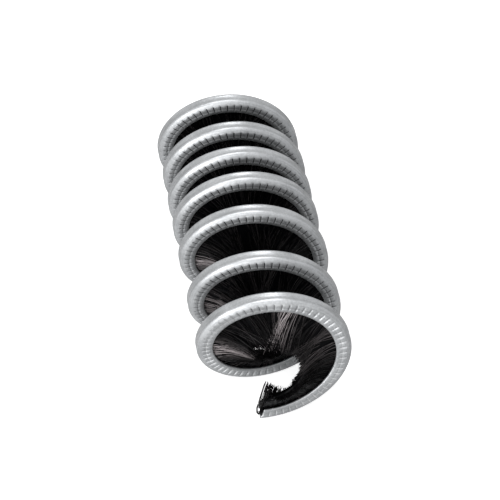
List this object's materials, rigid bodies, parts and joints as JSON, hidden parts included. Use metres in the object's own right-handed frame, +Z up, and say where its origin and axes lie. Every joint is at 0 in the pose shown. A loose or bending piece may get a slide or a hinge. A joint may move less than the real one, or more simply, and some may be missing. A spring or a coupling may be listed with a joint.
{
  "type": "rope brush",
  "caption": "Strip brush wound into an open coil with its bristles pointing inwards, slid along a climbing rope to wash it.",
  "frame": {"origin": "on the coil's axis, at the middle of the overall length", "axes": "+Y along the coil's axis, from the near end to the far end; +Z up; the bristles lean towards the near end, -Y"},
  "size_m": [0.0358, 0.0853, 0.0358],
  "materials": {
    "strip": "satin roll-formed sheet",
    "wire": "drawn wire, cut ends",
    "bristle": "black nylon filaments"
  },
  "bodies": {
    "root": {"channel_strip": "strip", "core_wire": "wire", "bristles_turn_1": "bristle", "bristles_turn_2": "bristle", "bristles_turn_3": "bristle", "bristles_turn_4": "bristle", "bristles_turn_5": "bristle", "bristles_turn_6": "bristle", "bristles_turn_7": "bristle"}
  },
  "joints": []
}
